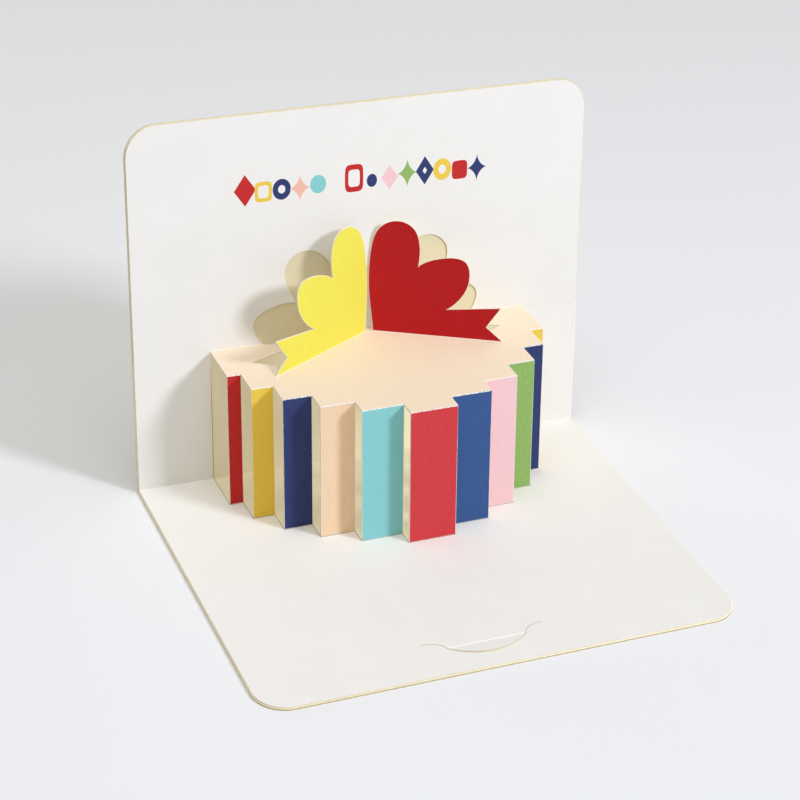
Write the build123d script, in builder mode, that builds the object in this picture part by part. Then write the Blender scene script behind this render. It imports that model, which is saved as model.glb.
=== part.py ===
from build123d import *
import os
from math import cos, radians, sin

os.makedirs("parts", exist_ok=True)

# A greeting card standing open at a little more than a right angle. The cover is one
# folded card. Glued inside it is one cut sheet, whose middle stands forward of the
# spine as a stepped half-round cake: a flat top and a row of front strips. Each half
# of a bow is cut out of the same sheet, across the fold behind the cake's top, and is
# folded up along a slanting crease. X runs along the spine, Y from the free edge of
# the base to the back panel, and Z up. All lengths are in millimetres.

# card
card_width = 150.0
panel_depth = 118.5  # spine to free edge, the same for the base and the back panel
opening_angle = 96.0  # between the base and the back panel
corner_radius = 10.0
cover_thickness = 0.5
sheet_thickness = 0.45
sheet_inset = 0.4  # how far the sheet stops short of the cover's edges

# cake
cake_height = 43.5  # from the spine up the back panel, and each strip's length
cake_shift = 2.5  # the cake's middle, to the right of the card's middle
side_strip_widths = (4.4, 7.0, 9.2, 11.1, 13.4)  # from either side inwards
side_strip_depths = (16.2, 25.8, 34.4, 41.8, 47.6)  # from the spine
middle_strip_width = 15.3
middle_strip_depth = 52.9
strip_crease_radius = 0.25

# bow halves, each outline measured along its crease and up from it
bow_shift = 1.4  # the bow's middle, to the right of the card's middle
bow_gap = 2.6  # between the two creases, at the back
bow_inset = 1.9  # from the fold behind the cake's top to the creases
bow_crease_angle = 27.5  # from the spine's direction
bow_crease_length = 41.0
bow_lean = 7.4  # each half leans back from upright
tail_notch = (bow_crease_length - 5.5, 4.4)
tail_tip = (bow_crease_length - 1.3, 11.1)
tail_root = (22.9, 9.2)
lower_loop = ((27.3, 13.8), (29.2, 20.4), (27.8, 25.0), (22.2, 26.2))
loop_root = (13.0, 22.5)
upper_loop = ((13.0, 29.6), (10.6, 35.0), (5.3, 36.8), (0.2, 34.2))
inner_side = ((-2.2, 26.6), (-1.9, 11.9))

# thumb tongue near the base's free edge
tongue_shift = -3.0  # its middle, to the left of the card's middle
tongue_depth = 106.0  # from the spine to its crease
tongue_width = 25.6
tongue_length = 5.4
tongue_lift = 4.5  # degrees
slit_width = 0.25
slit_end_reach = 6.4  # how far each end of the slit runs on sideways
slit_end_rise = 3.3  # and back towards the spine
slit_end_slope = 0.4  # sideways for each millimetre back, where it leaves the tongue

lean = radians(opening_angle - 90)
panel_up_y = sin(lean)
panel_up_z = cos(lean)


def up_the_panel(start, length):
    return (start[0] + length * panel_up_y, start[1] + length * panel_up_z)


# The origin is on the floor, midway between the front edge and the back of the top edge.
back_reach = panel_depth * panel_up_y + cover_thickness * panel_up_z
spine_y = (panel_depth - back_reach) / 2

cover_spine = (spine_y, cover_thickness)
cover_top = up_the_panel(cover_spine, panel_depth)
cover_front = (spine_y - panel_depth, cover_thickness)
panel_normal = Axis((0, 0, 0), (0, panel_up_z, -panel_up_y))

with BuildPart() as outer_cover:
    with BuildSketch(Plane.YZ):
        with BuildLine():
            inner_face = Polyline(cover_top, cover_spine, cover_front)
            offset(inner_face, cover_thickness, side=Side.LEFT, closed=True)
        make_face()
    extrude(amount=card_width / 2, both=True)
    fillet(outer_cover.edges().filter_by(Axis.Z).group_by(Axis.Y)[0], corner_radius)
    fillet(outer_cover.edges().filter_by(panel_normal).group_by(Axis.Z)[-1], corner_radius)

# The sheet's printed face lies its own thickness in front of the cover's inner face.
fold_setback = sheet_thickness * (1 - panel_up_y) / panel_up_z
sheet_reach = panel_depth - fold_setback - sheet_inset
sheet_spine = (spine_y - fold_setback, cover_thickness + sheet_thickness)
sheet_top = up_the_panel(sheet_spine, sheet_reach)
sheet_front = (sheet_spine[0] - sheet_reach, sheet_spine[1])
back_fold = up_the_panel(sheet_spine, cake_height)
sheet_width = card_width - 2 * sheet_inset
sheet_corner_radius = corner_radius - sheet_inset

strip_widths = (*side_strip_widths, middle_strip_width, *reversed(side_strip_widths))
strip_depths = (*side_strip_depths, middle_strip_depth, *reversed(side_strip_depths))
cake_left = cake_shift - sum(strip_widths) / 2
cake_right = cake_shift + sum(strip_widths) / 2

with BuildSketch() as bow_half:
    with BuildLine():
        Polyline((0, 0), (bow_crease_length, 0), tail_notch, tail_tip, tail_root)
        Spline(tail_root, *lower_loop, loop_root)
        Spline(loop_root, *upper_loop, *inner_side, (0, 0))
    make_face()

with BuildPart() as popup_sheet:
    # one bent band of paper for each stretch of the sheet's width
    for left, right in ((-sheet_width / 2, cake_left), (cake_right, sheet_width / 2)):
        with BuildSketch(Plane.YZ.offset(left)):
            with BuildLine():
                printed_face = Polyline(sheet_top, sheet_spine, sheet_front)
                offset(printed_face, sheet_thickness, side=Side.LEFT, closed=True)
            make_face()
        extrude(amount=right - left)
    strip_left = cake_left
    for strip_width, strip_depth in zip(strip_widths, strip_depths):
        strip_top = (back_fold[0] - strip_depth, back_fold[1])
        strip_foot = (sheet_spine[0] - strip_depth, sheet_spine[1])
        with BuildSketch(Plane.YZ.offset(strip_left)) as band:
            with BuildLine():
                printed_face = Polyline(sheet_top, back_fold, strip_top, strip_foot, sheet_front)
                offset(printed_face, sheet_thickness, side=Side.LEFT, closed=True)
            make_face()
            fillet(band.vertices().sort_by_distance(strip_top)[0], strip_crease_radius)
        extrude(amount=strip_width)
        strip_left += strip_width
    fillet(popup_sheet.edges().filter_by(Axis.Z).group_by(Axis.Y)[0], sheet_corner_radius)
    fillet(popup_sheet.edges().filter_by(panel_normal).group_by(Axis.Z)[-1], sheet_corner_radius)

    # both bow halves: the hole that each leaves in the panel and the cake's top, then
    # the half itself, whose foot is the paper left in front of its crease
    crease_x = cos(radians(bow_crease_angle))
    crease_y = sin(radians(bow_crease_angle))
    upright_z = cos(radians(bow_lean))
    upright_back = sin(radians(bow_lean))
    for side in (-1, 1):
        half_x = bow_shift + side * bow_gap / 2
        hole_in_top = Plane(
            origin=(half_x, back_fold[0] - bow_inset, back_fold[1]),
            x_dir=(side * crease_x, -crease_y, 0),
            z_dir=(0, 0, side),
        )
        hole_in_panel = Plane(
            origin=(half_x, *up_the_panel(back_fold, -bow_inset)),
            x_dir=(side * crease_x, -crease_y * panel_up_y, -crease_y * panel_up_z),
            z_dir=(0, -side * panel_up_z, side * panel_up_y),
        )
        for hole_plane in (hole_in_top, hole_in_panel):
            with BuildSketch(hole_plane):
                add(bow_half.sketch)
            extrude(amount=-side * sheet_thickness, mode=Mode.SUBTRACT)
    for side in (-1, 1):
        half_x = bow_shift + side * bow_gap / 2
        standing = Plane(
            origin=(half_x, back_fold[0] - bow_inset, back_fold[1]),
            x_dir=(side * crease_x, -crease_y, 0),
            z_dir=(-crease_y * upright_z, -side * crease_x * upright_z, side * upright_back),
        )
        with BuildSketch(standing):
            add(bow_half.sketch)
            with Locations((bow_crease_length / 2, -sheet_thickness / 2)):
                Rectangle(bow_crease_length, sheet_thickness)
        extrude(amount=-side * sheet_thickness)

    # thumb tongue: the slit round it, then the tongue lifted a little on its crease
    tongue_crease_y = sheet_spine[0] - tongue_depth
    half_tongue = tongue_width / 2
    with BuildSketch(Plane((tongue_shift, tongue_crease_y, sheet_spine[1]))):
        with BuildLine():
            ThreePointArc((-half_tongue, 0), (0, -tongue_length), (half_tongue, 0))
            Line((half_tongue, 0), (-half_tongue, 0))
        make_face()
        for side in (-1, 1):
            # each end of the slit sets out from inside the half-moon
            with BuildLine():
                slit_end = Spline(
                    (side * (half_tongue - 2 * slit_width), -slit_width),
                    (side * (half_tongue + slit_end_reach), slit_end_rise),
                    tangents=((side * slit_end_slope, 1), (side, 0)),
                )
            trace(slit_end, slit_width)
    extrude(amount=-sheet_thickness, mode=Mode.SUBTRACT)
    # hinged on its underside, so that nothing of it reaches into the cover
    lifted = Plane(
        origin=(tongue_shift, tongue_crease_y, cover_thickness),
        x_dir=(1, 0, 0),
        z_dir=(0, sin(radians(tongue_lift)), cos(radians(tongue_lift))),
    )
    half_lifted = half_tongue - slit_width
    with BuildSketch(lifted):
        with BuildLine():
            ThreePointArc((-half_lifted, 0), (0, slit_width - tongue_length), (half_lifted, 0))
            Line((half_lifted, 0), (-half_lifted, 0))
        make_face()
    extrude(amount=sheet_thickness)

for piece, name in ((outer_cover, "outer_cover"), (popup_sheet, "popup_sheet")):
    piece.part.label = name
    export_step(piece.part, f"parts/{name}.step")
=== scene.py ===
import math

import bmesh
import bpy
from mathutils import Matrix, Vector


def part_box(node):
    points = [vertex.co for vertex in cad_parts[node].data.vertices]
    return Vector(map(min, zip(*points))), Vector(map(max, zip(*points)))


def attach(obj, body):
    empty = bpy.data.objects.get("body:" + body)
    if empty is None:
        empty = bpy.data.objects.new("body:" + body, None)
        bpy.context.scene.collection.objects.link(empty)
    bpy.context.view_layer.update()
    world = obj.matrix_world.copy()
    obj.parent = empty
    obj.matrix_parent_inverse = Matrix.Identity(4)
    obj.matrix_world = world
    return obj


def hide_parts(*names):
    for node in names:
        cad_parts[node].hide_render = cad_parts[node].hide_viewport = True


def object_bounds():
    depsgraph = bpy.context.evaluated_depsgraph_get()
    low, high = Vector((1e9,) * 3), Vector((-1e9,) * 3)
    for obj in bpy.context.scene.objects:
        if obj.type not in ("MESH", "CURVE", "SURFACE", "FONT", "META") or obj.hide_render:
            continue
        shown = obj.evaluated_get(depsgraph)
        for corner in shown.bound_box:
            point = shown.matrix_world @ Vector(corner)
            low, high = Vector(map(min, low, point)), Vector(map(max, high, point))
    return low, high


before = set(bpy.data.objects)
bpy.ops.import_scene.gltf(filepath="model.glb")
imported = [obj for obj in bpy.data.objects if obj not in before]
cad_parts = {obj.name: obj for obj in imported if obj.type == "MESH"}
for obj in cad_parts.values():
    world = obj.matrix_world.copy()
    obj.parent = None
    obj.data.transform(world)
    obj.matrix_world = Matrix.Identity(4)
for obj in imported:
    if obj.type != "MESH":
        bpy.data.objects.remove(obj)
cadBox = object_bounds()
mm = 0.001


def colour(red, green, blue):
    # from 0 to 255 as a screen shows it, to the linear values that shaders use
    channels = [c / 255 for c in (red, green, blue)]
    return [c / 12.92 if c < 0.04045 else ((c + 0.055) / 1.055) ** 2.4 for c in channels] + [1.0]


def addNode(tree, kind, inputs=None, **settings):
    node = tree.nodes.new("ShaderNode" + kind)
    for name, value in settings.items():
        setattr(node, name, value)
    for name, value in (inputs or {}).items():
        if isinstance(value, bpy.types.NodeSocket):
            tree.links.new(value, node.inputs[name])
        else:
            node.inputs[name].default_value = value
    return node


def calc(tree, operation, *values, clamp=False):
    inputs = dict(enumerate(values))
    return addNode(tree, "Math", inputs, operation=operation, use_clamp=clamp).outputs[0]


def mixColour(tree, share, first, second, blend="MIX"):
    node = addNode(tree, "Mix", {0: share, 6: first, 7: second}, data_type="RGBA", blend_type=blend)
    return node.outputs[2]


def ramp(tree, value, low, high, outLow=0.0, outHigh=1.0):
    inputs = {"Value": value, 1: low, 2: high, 3: outLow, 4: outHigh}
    return addNode(tree, "MapRange", inputs).outputs[0]


def noise(tree, vector, size, detail=2.0, roughness=0.5):
    # size is the width of the pattern's largest lumps, in metres
    inputs = {"Vector": vector, "Scale": 1 / size, "Detail": detail, "Roughness": roughness}
    return addNode(tree, "TexNoise", inputs).outputs[0]


def newGroup(name, inputs, outputs):
    group = bpy.data.node_groups.new(name, "ShaderNodeTree")
    for socketName, kind, value in inputs:
        socket = group.interface.new_socket(socketName, in_out="INPUT", socket_type="NodeSocket" + kind)
        if value is not None:
            socket.default_value = value
    for socketName, kind in outputs:
        group.interface.new_socket(socketName, in_out="OUTPUT", socket_type="NodeSocket" + kind)
    return group, group.nodes.new("NodeGroupInput"), group.nodes.new("NodeGroupOutput")


def useGroup(tree, group, **inputs):
    node = tree.nodes.new("ShaderNodeGroup")
    node.node_tree = group
    for name, value in inputs.items():
        if isinstance(value, bpy.types.NodeSocket):
            tree.links.new(value, node.inputs[name])
        else:
            node.inputs[name].default_value = value
    return node.outputs


def newMaterial(name, roughness, specular=0.3):
    material = bpy.data.materials.new(name)
    material.use_nodes = True
    tree = material.node_tree
    shader = tree.nodes["Principled BSDF"]
    shader.inputs["Roughness"].default_value = roughness
    shader.inputs["Specular IOR Level"].default_value = specular
    position = addNode(tree, "TexCoord").outputs["Object"]
    return material, tree, shader, position


def addBump(tree, shader, height, distance, strength=1.0):
    bump = addNode(tree, "Bump", {"Height": height, "Distance": distance, "Strength": strength})
    tree.links.new(bump.outputs[0], shader.inputs["Normal"])


grain = {
    "fibre": 0.35 * mm,
    "fibreStretch": 3.5,
    "cloud": 16 * mm,
    "depth": 0.012 * mm,
    "fibreShare": 0.6,  # of the tone, and the clouds have the rest
    "cloudShare": 0.4,
    "dark": 0.3,  # the tones at which a paper has its shade and its full colour
    "light": 0.7,
}


def makePaperGrain():
    # fibres and pulp clouds: Height for the surface, Tone from 0 to 1 for the colour
    inputs = [("Vector", "Vector", None)]
    group, start, end = newGroup("paperGrain", inputs, [("Height", "Float"), ("Tone", "Float")])
    place = start.outputs["Vector"]
    stretch = grain["fibreStretch"]
    stretched = addNode(group, "Mapping", {"Vector": place, "Scale": (1, stretch, 1)})
    crossed = addNode(group, "Mapping", {"Vector": place, "Scale": (stretch, 1, 2)})
    along = noise(group, stretched.outputs[0], grain["fibre"] * 2, 3, 0.6)
    across = noise(group, crossed.outputs[0], grain["fibre"] * 2, 3, 0.6)
    fine = noise(group, place, grain["fibre"])
    fibres = calc(group, "MAXIMUM", along, across)
    height = calc(group, "MULTIPLY_ADD", fine, 0.5, fibres)
    cloud = noise(group, place, grain["cloud"], 4, 0.55)
    clouds = calc(group, "MULTIPLY", cloud, grain["cloudShare"])
    tone = calc(group, "MULTIPLY_ADD", fibres, grain["fibreShare"], clouds)
    group.links.new(height, end.inputs["Height"])
    group.links.new(tone, end.inputs["Tone"])
    return group


speckle = {
    "spacing": 1.5 * mm,
    "dot": 0.06 * mm,
    "leftOut": 0.55,  # of the specks, by chance
    "strength": 0.4,
    "mottle": 0.9 * mm,
    "mottleLow": 0.25,
    "mottleHigh": 0.75,
    "darkMottle": 0.14,  # how uneven a dark ink is, a light one, and the row of shapes
    "lightMottle": 0.05,
    "markMottle": 0.06,
    "crack": 0.42 * mm,
    "wearStart": 0.92,  # the rim and the cracks together, where ink thins and where it is gone
    "wearEnd": 1.12,
}


def makePrintedInk():
    # ink on paper: mottled, with specks of bare paper, and worn away where Rim nears 1
    inputs = [
        ("Vector", "Vector", None),
        ("Ink", "Color", (0.5, 0.5, 0.5, 1)),
        ("Paper", "Color", (0.9, 0.9, 0.9, 1)),
        ("Cover", "Float", 1.0),
        ("Rim", "Float", 0.0),
        ("Mottle", "Float", 0.1),
    ]
    group, start, end = newGroup("printedInk", inputs, [("Color", "Color")])
    place = start.outputs["Vector"]
    spots = addNode(group, "TexVoronoi", {"Vector": place, "Scale": 1 / speckle["spacing"]})
    small = calc(group, "LESS_THAN", spots.outputs["Distance"], speckle["dot"] / speckle["spacing"])
    chosen = addNode(group, "SeparateColor", {"Color": spots.outputs["Color"]}).outputs[0]
    speck = calc(group, "MULTIPLY", small, calc(group, "GREATER_THAN", chosen, speckle["leftOut"]))
    fine = noise(group, place, speckle["mottle"], 5, 0.72)
    tone = ramp(group, fine, speckle["mottleLow"], speckle["mottleHigh"], -1, 1)
    shade = calc(group, "MULTIPLY_ADD", tone, start.outputs["Mottle"], 1.0)
    inputs = {0: start.outputs["Ink"], "Scale": shade}
    mottled = addNode(group, "VectorMath", inputs, operation="SCALE")
    crack = noise(group, place, speckle["crack"], 3, 0.6)
    wear = calc(group, "ADD", start.outputs["Rim"], crack)
    worn = ramp(group, wear, speckle["wearStart"], speckle["wearEnd"])
    bare = calc(group, "MAXIMUM", calc(group, "MULTIPLY", speck, speckle["strength"]), worn)
    cover = calc(group, "MULTIPLY", start.outputs["Cover"], calc(group, "SUBTRACT", 1.0, bare))
    mixed = mixColour(group, cover, start.outputs["Paper"], mottled.outputs[0])
    group.links.new(mixed, end.inputs["Color"])
    return group


def makePrintedShape():
    # a superellipse in the plane of X and Z: Power 1 a diamond, 2 a dot, 5 a square, under 1 a star
    inputs = [
        ("Vector", "Vector", None),
        ("Centre X", "Float", 0.0),
        ("Centre Z", "Float", 0.0),
        ("Half Width", "Float", 1.0),
        ("Half Height", "Float", 1.0),
        ("Power", "Float", 2.0),
        ("Hole", "Float", 0.0),
    ]
    group, start, end = newGroup("printedShape", inputs, [("Mask", "Float")])
    place = addNode(group, "SeparateXYZ", {0: start.outputs["Vector"]})
    powered = []
    for axis, centre, half in (("X", "Centre X", "Half Width"), ("Z", "Centre Z", "Half Height")):
        offset = calc(group, "SUBTRACT", place.outputs[axis], start.outputs[centre])
        share = calc(group, "ABSOLUTE", calc(group, "DIVIDE", offset, start.outputs[half]))
        powered.append(calc(group, "POWER", share, start.outputs["Power"]))
    reach = calc(group, "ADD", *powered)
    inside = calc(group, "LESS_THAN", reach, 1.0)
    ring = calc(group, "GREATER_THAN", reach, start.outputs["Hole"])
    group.links.new(calc(group, "MULTIPLY", inside, ring), end.inputs["Mask"])
    return group


paperGrain = makePaperGrain()
printedInk = makePrintedInk()
printedShape = makePrintedShape()
print("shared paper and ink groups made")

paper = {
    "ivory": colour(244, 243, 241),
    "ivoryShade": colour(238, 237, 233),
    "reverse": colour(246, 241, 226),
    "reverseShade": colour(241, 234, 216),
    "edge": colour(240, 234, 214),
    "edgeShade": colour(222, 208, 172),
    "outerEdge": colour(242, 237, 222),
    "outerEdgeShade": colour(230, 221, 196),
    # a whiter paper for the tongue's crease: painted highlight
    "scoreHighlight": colour(254, 253, 250),
    "roughness": 0.8,
    "ivoryRoughness": 0.72,
    "inkRoughness": 0.62,
    "inkSpecular": 0.25,
}
scorching = {"colour": colour(112, 84, 48), "start": 0.05, "end": 0.4, "most": 0.9}

inks = {
    "peachTop": colour(241, 223, 199),
    # the red is set darker, partly as painted shade on the leftmost strip, which stands in shade
    "stripRed": colour(198, 38, 38),
    "stripYellow": colour(240, 205, 76),
    "stripNavy": colour(46, 59, 112),
    "stripPeach": colour(246, 215, 180),
    "stripTurquoise": colour(137, 208, 212),
    # the same red made lighter for the middle strip: painted light
    "stripRedPaintedLit": colour(211, 60, 66),
    "stripBlue": colour(53, 88, 147),
    "stripPink": colour(247, 204, 210),
    "stripGreen": colour(146, 184, 103),
    "bowYellow": colour(237, 230, 88),
    "bowRed": colour(188, 18, 24),
    "markCoral": colour(246, 190, 172),
}
darkInks = ("stripRed", "stripNavy", "stripRedPaintedLit", "stripBlue", "stripGreen", "bowRed")
stripOrder = (
    "stripRed",
    "stripYellow",
    "stripNavy",
    "stripPeach",
    "stripTurquoise",
    "stripRedPaintedLit",
    "stripBlue",
    "stripPink",
    "stripGreen",
    "stripNavy",
    "stripYellow",
)

# the row of little shapes high on the panel
marks = {
    "first": -38.1 * mm,
    "pitch": 5.86 * mm,
    "height": 94.6 * mm,
    "fall": 0.11 * mm,  # from each place in the row to the next
    "gapAfter": 5,
}
# ink, power, half width, half height, hole and rise, lengths in millimetres
markShapes = (
    ("stripRed", 1.0, 3.5, 5.0, 0.0, 0.0),
    ("stripYellow", 4.5, 2.75, 3.2, 0.12, -0.9),
    ("stripNavy", 2.0, 2.9, 3.3, 0.16, -0.7),
    ("markCoral", 0.62, 3.5, 4.4, 0.0, -0.9),
    ("stripTurquoise", 2.0, 2.6, 2.9, 0.0, -0.3),
    ("stripRed", 4.5, 3.0, 4.4, 0.12, 0.4),
    ("stripNavy", 2.0, 1.7, 2.1, 0.0, -0.9),
    ("stripPink", 1.0, 2.8, 3.9, 0.0, -0.5),
    ("stripGreen", 0.62, 3.4, 4.8, 0.0, 0.3),
    ("stripNavy", 1.0, 3.0, 4.6, 0.25, 0.5),
    ("stripYellow", 2.0, 3.0, 3.5, 0.18, 0.3),
    ("stripRed", 4.5, 2.6, 3.0, 0.0, -0.4),
    ("stripNavy", 0.62, 3.4, 4.5, 0.0, -0.2),
)


def unevenPaper(tree, texture, dark, light):
    return mixColour(tree, ramp(tree, texture["Tone"], grain["dark"], grain["light"]), dark, light)


def attributeValue(tree, name):
    return addNode(tree, "Attribute", attribute_name=name).outputs["Fac"]


def makeIvoryPaper():
    material, tree, shader, position = newMaterial("ivoryPaper", paper["ivoryRoughness"])
    texture = useGroup(tree, paperGrain, Vector=position)
    bare = unevenPaper(tree, texture, paper["ivoryShade"], paper["ivory"])
    ink, inked = paper["ivory"], 0.0
    for index, (name, power, halfWidth, halfHeight, hole, rise) in enumerate(markShapes):
        slot = index + (index >= marks["gapAfter"])
        inputs = {
            "Vector": position,
            "Centre X": marks["first"] + slot * marks["pitch"],
            "Centre Z": marks["height"] - slot * marks["fall"] + rise * mm,
            "Half Width": halfWidth * mm,
            "Half Height": halfHeight * mm,
            "Power": power,
            "Hole": hole,
        }
        shape = useGroup(tree, printedShape, **inputs)["Mask"]
        ink = mixColour(tree, shape, ink, inks[name])
        inked = calc(tree, "MAXIMUM", inked, shape)
    inputs = {"Ink": ink, "Paper": bare, "Cover": inked, "Mottle": speckle["markMottle"]}
    printed = useGroup(tree, printedInk, Vector=position, **inputs)["Color"]
    scorch = attributeValue(tree, "scorch")
    burnt = ramp(tree, scorch, scorching["start"], scorching["end"], 0, scorching["most"])
    finished = mixColour(tree, burnt, printed, scorching["colour"])
    tree.links.new(finished, shader.inputs["Base Color"])
    addBump(tree, shader, texture["Height"], grain["depth"])
    return material


def makeInkedPaper(name):
    # for a whole face of one colour, whose rim shows bare paper
    roughness, specular = paper["inkRoughness"], paper["inkSpecular"]
    material, tree, shader, position = newMaterial(name, roughness, specular)
    texture = useGroup(tree, paperGrain, Vector=position)
    rim = attributeValue(tree, "rim")
    mottle = speckle["darkMottle" if name in darkInks else "lightMottle"]
    inputs = {"Ink": inks[name], "Paper": paper["ivory"], "Rim": rim, "Mottle": mottle}
    printed = useGroup(tree, printedInk, Vector=position, **inputs)
    tree.links.new(printed["Color"], shader.inputs["Base Color"])
    addBump(tree, shader, texture["Height"], grain["depth"])
    return material


def makePlainPaper(name, light, dark):
    material, tree, shader, position = newMaterial(name, paper["roughness"])
    texture = useGroup(tree, paperGrain, Vector=position)
    tree.links.new(unevenPaper(tree, texture, dark, light), shader.inputs["Base Color"])
    addBump(tree, shader, texture["Height"], grain["depth"])
    return material


sheetPapers = {
    "ivory": makeIvoryPaper(),
    "reverse": makePlainPaper("sheetReverse", paper["reverse"], paper["reverseShade"]),
    "scoreHighlight": makePlainPaper("sheetScorePaintedHighlight", paper["scoreHighlight"], paper["ivory"]),
    "edge": makePlainPaper("sheetCutEdge", paper["edge"], paper["edgeShade"]),
    "outerEdge": makePlainPaper("sheetOuterEdge", paper["outerEdge"], paper["outerEdgeShade"]),
}
for inkName in inks:
    if inkName != "markCoral":  # which is only in the row of shapes
        sheetPapers[inkName] = makeInkedPaper(inkName)
print("papers and inks made:", len(sheetPapers))


facets = {
    "weld": 0.001 * mm,
    "flat": 0.05,  # degrees between facets of one face
    "flatBelow": 1.0,  # degrees, past which an edge between broad faces is sharp
    "roundBelow": 35.0,  # the same between facets of a cut edge
    "cutEdge": 0.585 * mm,  # a narrower face is a cut edge, as wide as the paper is thick
    "mainly": 0.9,  # the least that a face's normal has along a direction that it faces
    "squarely": 0.99,
}


def mergedCopy(node):
    bm = bmesh.new()
    bm.from_mesh(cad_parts[node].data)
    bmesh.ops.remove_doubles(bm, verts=bm.verts, dist=facets["weld"])
    limit = math.radians(facets["flat"])
    bmesh.ops.dissolve_limit(bm, angle_limit=limit, verts=bm.verts, edges=bm.edges)
    bm.normal_update()
    return bm


def narrow(face):
    return 2 * face.calc_area() < facets["cutEdge"] * face.calc_perimeter()


def middleOf(face):
    return face.calc_center_median()


def bevelEdges(bm, edges, offset, segments, material):
    bmesh.ops.bevel(
        bm,
        geom=edges,
        offset=offset,
        offset_type="OFFSET",
        segments=segments,
        profile=0.5,
        affect="EDGES",
        material=material,
    )


def finishPiece(bm, name, papers, node):
    bm.normal_update()
    for face in bm.faces:
        face.smooth = True
    for edge in bm.edges:
        thin = all(narrow(f) for f in edge.link_faces)
        limit = math.radians(facets["roundBelow"] if thin else facets["flatBelow"])
        edge.smooth = edge.calc_face_angle(math.pi) < limit
    mesh = bpy.data.meshes.new(name)
    bm.to_mesh(mesh)
    bm.free()
    for material in papers:
        mesh.materials.append(material)
    piece = bpy.data.objects.new(name, mesh)
    bpy.context.scene.collection.objects.link(piece)
    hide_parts(node)
    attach(piece, "root")
    return piece


sheet = {
    "thickness": 0.45 * mm,
    "rimWidth": 0.22 * mm,
    "parallel": 0.9995,  # the strips' faces and the panel's
    "stripAhead": 2.0 * mm,  # strips stand further forward of the panel than this
    "bowForward": 0.8,  # how far the bow's faces turn forward, and sideways
    "bowSideways": 0.4,
    "creaseReach": 0.5 * mm,
    "creaseTilt": 0.01,  # a strip's upper crease runs level, and faces forward and up
    "creaseUp": 0.12,
    "creaseWear": 0.6,
    "outerMargin": 4.0 * mm,
    "scorchHeight": 2.0 * mm,  # on the base, round the cake's feet
    "tongueReach": 20.0 * mm,  # the tongue lies this near the base's free edge
    "tongueWeld": 0.06 * mm,
    "tongueTurn": (3.0, 8.0),  # degrees at the tongue's crease
    "scoreWidth": 0.14 * mm,
}


def turnsWithCrease(normal):
    level = abs(normal.x) < sheet["creaseTilt"]
    return level and normal.y < -sheet["creaseTilt"] and normal.z > sheet["creaseUp"]


def turnsWithBow(normal):
    return normal.y < -sheet["bowForward"] and abs(normal.x) > sheet["bowSideways"]


def sortFaces(bm):
    # which paper or ink each face of the sheet shows
    forwardFaces = (f for f in bm.faces if f.normal.y < -facets["mainly"])
    panelFace = max(forwardFaces, key=lambda f: f.calc_area())
    panelNormal = panelFace.normal.copy()
    panelPlace = middleOf(panelFace).dot(panelNormal)
    levelFaces = (f for f in bm.faces if f.normal.z > facets["squarely"])
    cakeTop = max(levelFaces, key=lambda f: middleOf(f).z * f.calc_area())
    topHeight = middleOf(cakeTop).z
    fields = {name: [] for name in sheetPapers}
    strips, creases = [], []
    low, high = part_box("popup_sheet")
    for face in bm.faces:
        normal, centre = face.normal, middleOf(face)
        fromEdge = min(centre.x - low.x, high.x - centre.x, centre.y - low.y, high.z - centre.z)
        ahead = centre.dot(panelNormal) - panelPlace
        nearTop = abs(centre.z - topHeight) < sheet["creaseReach"]
        if narrow(face):
            edges = fields["outerEdge" if fromEdge < sheet["outerMargin"] else "edge"]
            (creases if nearTop and turnsWithCrease(normal) else edges).append(face)
        elif normal.z > facets["squarely"]:
            fields["peachTop" if nearTop else "ivory"].append(face)
        elif normal.dot(panelNormal) > sheet["parallel"]:
            (strips if ahead > sheet["stripAhead"] else fields["ivory"]).append(face)
        elif turnsWithBow(normal):
            fields["bowRed" if normal.x < 0 else "bowYellow"].append(face)
        else:
            fields["reverse"].append(face)
    strips.sort(key=lambda f: middleOf(f).x)
    for strip, name in zip(strips, stripOrder):
        fields[name].append(strip)
    for crease in creases:
        x = middleOf(crease).x
        nearest = min(strips, key=lambda f: abs(middleOf(f).x - x))
        crease.material_index = list(sheetPapers).index(stripOrder[strips.index(nearest)])
    for index, faces in enumerate(fields.values()):
        for face in faces:
            face.material_index = index
    print("strips:", len(strips), "creases:", len(creases))
    return fields, {v for f in creases for v in f.verts}


def makeSheet():
    bm = mergedCopy("popup_sheet")
    low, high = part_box("popup_sheet")
    reach = low.y + sheet["tongueReach"]
    halfway = low.z + sheet["thickness"] / 2
    tongueVerts = [v for v in bm.verts if v.co.y < reach and v.co.z > halfway]
    bmesh.ops.remove_doubles(bm, verts=tongueVerts, dist=sheet["tongueWeld"])
    bm.normal_update()
    rim = bm.verts.layers.float.new("rim")
    scorch = bm.verts.layers.float.new("scorch")
    fields, creased = sortFaces(bm)
    creasePlaces = {tuple(v.co) for v in creased}
    inner = set()
    for name, faces in fields.items():
        if name not in ("edge", "outerEdge", "reverse") and faces:
            bmesh.ops.inset_region(
                bm, faces=faces, thickness=sheet["rimWidth"], use_boundary=True, use_even_offset=True
            )
            inner.update(v for f in faces for v in f.verts)
    for vert in bm.verts:
        if vert not in inner:
            vert[rim] = sheet["creaseWear"] if tuple(vert.co) in creasePlaces else 1.0
            fromSides = min(vert.co.x - low.x, high.x - vert.co.x)
            onBase = vert.co.z < low.z + sheet["scorchHeight"] and vert.co.y > reach
            vert[scorch] = 1.0 if onBase and fromSides > sheet["outerMargin"] else 0.0
    scoreCrease(bm, reach)
    return finishPiece(bm, "popupSheet", sheetPapers.values(), "popup_sheet")


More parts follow.
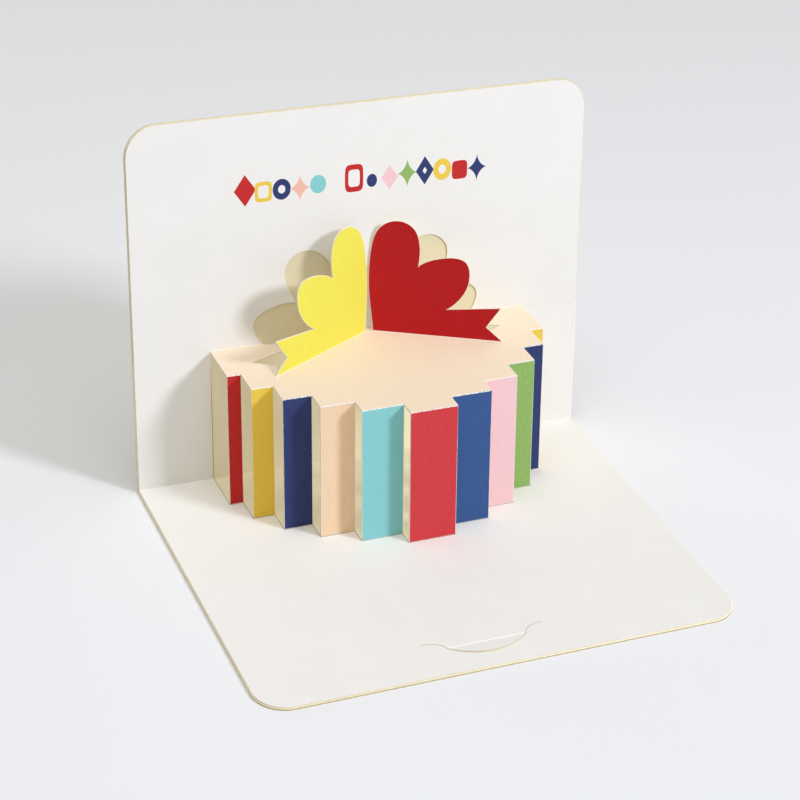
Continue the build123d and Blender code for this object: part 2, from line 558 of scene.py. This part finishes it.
def scoreCrease(bm, reach):
    # the pressed line on which the tongue lifts, bevelled in a whiter paper: a painted highlight where
    # light catches the crease
    least, most = (math.radians(turn) for turn in sheet["tongueTurn"])
    crease = [
        e
        for e in bm.edges
        if max(v.co.y for v in e.verts) < reach
        and least < e.calc_face_angle(0.0) < most
        and all(f.normal.z > facets["mainly"] for f in e.link_faces)
    ]
    bevelEdges(bm, crease, sheet["scoreWidth"], 1, list(sheetPapers).index("scoreHighlight"))
    print("tongue crease edges:", len(crease))


popupSheet = makeSheet()
print("sheet made:", len(popupSheet.data.polygons), "faces")

cover = {
    "outside": colour(243, 238, 222),
    "outsideShade": colour(238, 232, 212),
    "inside": colour(233, 225, 195),
    "insideShade": colour(226, 216, 182),
    "edge": colour(214, 200, 164),
    "edgeShade": colour(190, 172, 130),
    "foldRadius": 0.45 * mm,
    "foldSegments": 5,
    "foldShare": 0.9,  # of the card's width, at least
    "foldHeight": 0.1 * mm,  # above the underside, at most
    "edgeTilt": 0.2,  # how far a cut edge turns from facing up or down
}

# painted glow: inside the cake's hollow the cover's inner face glows faintly, standing in for light
# soaking through the sheet, more towards the bright side
paintedGlow = {
    "height": 43 * mm,
    "left": -50 * mm,
    "right": 30 * mm,
    "dim": 0.35,
    "bright": 1.0,
    "tint": (0.95, 1.0, 1.0, 1),
    "strength": 0.24,
}


def makeInsideCardWithPaintedGlow():
    material = makePlainPaper("coverInsidePaintedGlow", cover["inside"], cover["insideShade"])
    tree = material.node_tree
    shader = tree.nodes["Principled BSDF"]
    place = addNode(tree, "SeparateXYZ", {0: addNode(tree, "TexCoord").outputs["Object"]})
    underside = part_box("popup_sheet")[0].z
    inCake = calc(tree, "LESS_THAN", place.outputs["Z"], underside + paintedGlow["height"])
    sides = (paintedGlow["left"], paintedGlow["right"], paintedGlow["dim"], paintedGlow["bright"])
    share = calc(tree, "MULTIPLY", inCake, ramp(tree, place.outputs["X"], *sides))
    # painted glow, the card being no lamp: emission that stands in for light through the paper
    glow = mixColour(tree, share, (0, 0, 0, 1), paintedGlow["tint"])
    tree.links.new(glow, shader.inputs["Emission Color"])
    shader.inputs["Emission Strength"].default_value = paintedGlow["strength"]
    return material


def makeCover():
    bm = mergedCopy("outer_cover")
    low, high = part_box("outer_cover")
    foldLength = cover["foldShare"] * (high.x - low.x)
    spine = [
        e
        for e in bm.edges
        if abs(e.verts[0].co.x - e.verts[1].co.x) > foldLength
        and max(v.co.z for v in e.verts) < cover["foldHeight"]
        and min(v.co.y for v in e.verts) > 0
    ]
    bevelEdges(bm, spine, cover["foldRadius"], cover["foldSegments"], -1)
    mainly = facets["mainly"]
    for face in bm.faces:
        cutEdge = narrow(face) and abs(face.normal.x) + abs(face.normal.y) > cover["edgeTilt"]
        inside = face.normal.z > mainly or face.normal.y < -mainly
        face.material_index = 1 if cutEdge else 2 if inside else 0
    papers = (
        makePlainPaper("coverCard", cover["outside"], cover["outsideShade"]),
        makePlainPaper("coverCutEdge", cover["edge"], cover["edgeShade"]),
        makeInsideCardWithPaintedGlow(),
    )
    return finishPiece(bm, "outerCover", papers, "outer_cover")


outerCover = makeCover()
print("cover made:", len(outerCover.data.polygons), "faces")

floorLook = {
    "size": 4.0,
    "light": colour(242, 244, 248),
    "dark": colour(239, 241, 246),
    "grain": 1.5 * mm,
    "roughness": 0.85,
}
view = {
    "azimuth": -23.6,
    "elevation": 30.15,
    "roll": 3.2,
    "distance": 0.6744,
    "lens": 103.8,
    "sensor": 36,
    "clipStart": 0.01,
    "aim": Vector((-10.7, 0.0, -7.3)) * mm,  # from the object's middle
}
keyLight = {
    "azimuth": 45,
    "elevation": 31,
    "distance": 2.4,
    "width": 0.45,
    "height": 0.45,
    "power": 31.5,
    "colour": (0.97, 0.99, 1.08),
}
topLight = {
    "azimuth": -30,
    "elevation": 78,
    "distance": 1.3,
    "width": 1.2,
    "height": 1.2,
    "power": 9.7,
    "colour": (1.0, 1.0, 1.0),
}
backLight = {
    "azimuth": 195,
    "elevation": 10,
    "distance": 1.8,
    "width": 1.0,
    "height": 0.4,
    "power": 6.0,
    "colour": (1.0, 1.0, 1.0),
}
worldLight = {
    "colour": (1.0, 0.94, 0.78, 1),
    "strength": 0.235,
    "diffuseBounces": 16,  # for the light inside the cake
    "allBounces": 20,
}


def direction(azimuth, elevation):
    a, e = math.radians(azimuth), math.radians(elevation)
    return Vector((math.sin(a) * math.cos(e), -math.cos(a) * math.cos(e), math.sin(e)))


def makeFloor():
    bm = bmesh.new()
    bmesh.ops.create_grid(bm, x_segments=1, y_segments=1, size=floorLook["size"] / 2)
    mesh = bpy.data.meshes.new("floor")
    bm.to_mesh(mesh)
    bm.free()
    material, tree, shader, position = newMaterial("floorPaint", floorLook["roughness"])
    shade = noise(tree, position, floorLook["grain"], 3)
    tone = mixColour(tree, shade, floorLook["dark"], floorLook["light"])
    tree.links.new(tone, shader.inputs["Base Color"])
    mesh.materials.append(material)
    floor = bpy.data.objects.new("floor", mesh)
    floor.location.z = cadBox[0][2]
    bpy.context.scene.collection.objects.link(floor)


def makeLight(name, settings, target):
    data = bpy.data.lights.new(name, "AREA")
    data.shape = "RECTANGLE"
    data.size = settings["width"]
    data.size_y = settings["height"]
    data.energy = settings["power"]
    data.color = settings["colour"]
    lamp = bpy.data.objects.new(name, data)
    lamp.visible_camera = False
    towards = direction(settings["azimuth"], settings["elevation"])
    lamp.location = target + towards * settings["distance"]
    lamp.rotation_euler = towards.to_track_quat("Z", "Y").to_euler()
    bpy.context.scene.collection.objects.link(lamp)


def makeCamera(middle):
    camera = bpy.data.objects.new("camera", bpy.data.cameras.new("camera"))
    camera.data.lens = view["lens"]
    camera.data.sensor_width = view["sensor"]
    camera.data.clip_start = view["clipStart"]
    towards = direction(view["azimuth"], view["elevation"])
    roll = Matrix.Rotation(math.radians(view["roll"]), 3, "Z")
    camera.location = middle + view["aim"] + towards * view["distance"]
    camera.rotation_euler = (towards.to_track_quat("Z", "Y").to_matrix() @ roll).to_euler()
    bpy.context.scene.collection.objects.link(camera)
    bpy.context.scene.camera = camera


def makeWorld():
    world = bpy.data.worlds.new("studio")
    world.use_nodes = True
    background = world.node_tree.nodes["Background"]
    background.inputs["Color"].default_value = worldLight["colour"]
    background.inputs["Strength"].default_value = worldLight["strength"]
    scene = bpy.context.scene
    scene.world = world
    scene.cycles.diffuse_bounces = worldLight["diffuseBounces"]
    scene.cycles.max_bounces = worldLight["allBounces"]
    scene.view_settings.view_transform = "Standard"


middle = (Vector(cadBox[0]) + Vector(cadBox[1])) / 2
makeFloor()
makeLight("key", keyLight, middle)
makeLight("top", topLight, middle)
makeLight("back", backLight, middle)
makeCamera(middle)
makeWorld()
print("floor, lights and camera made")
